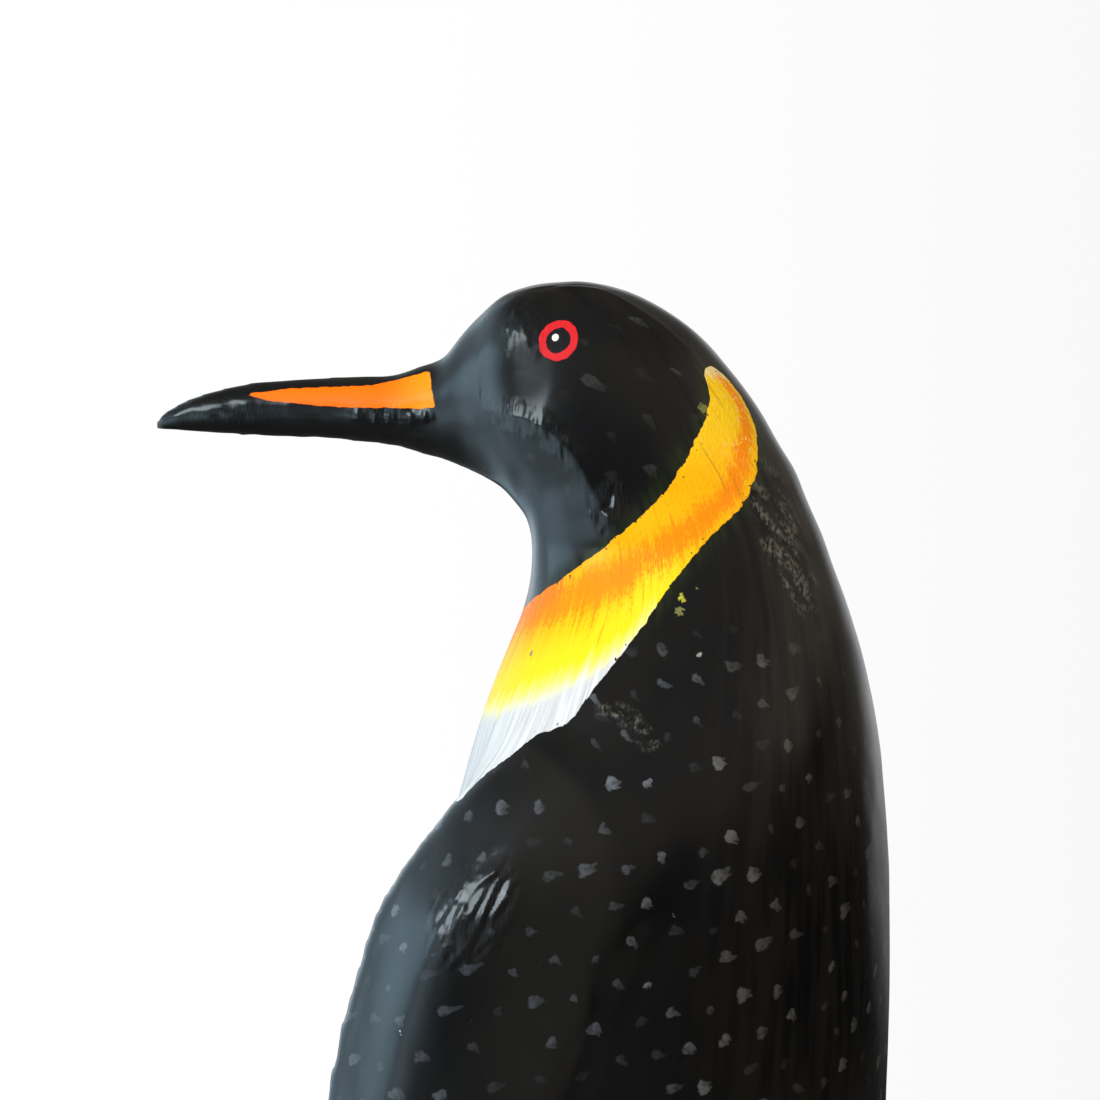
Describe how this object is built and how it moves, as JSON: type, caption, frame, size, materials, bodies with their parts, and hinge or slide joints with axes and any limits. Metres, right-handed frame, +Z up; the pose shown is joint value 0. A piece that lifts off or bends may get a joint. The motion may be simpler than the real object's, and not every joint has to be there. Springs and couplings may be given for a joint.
{
  "type": "wooden penguin carving",
  "caption": "Standing king penguin carved from one block of wood and painted, with a long straight bill and flippers held forward at its sides, on a low oval base.",
  "frame": {"origin": "centre of the base's underside", "axes": "+Z up, the bird faces -Y, its left side is +X"},
  "size_m": [0.2404, 0.3363, 0.8],
  "materials": {
    "painted_wood": "painted and gloss varnished: black, with orange, yellow and white on bill, neck and breast"
  },
  "bodies": {
    "root": {"penguin_carving": "painted_wood"}
  },
  "joints": []
}
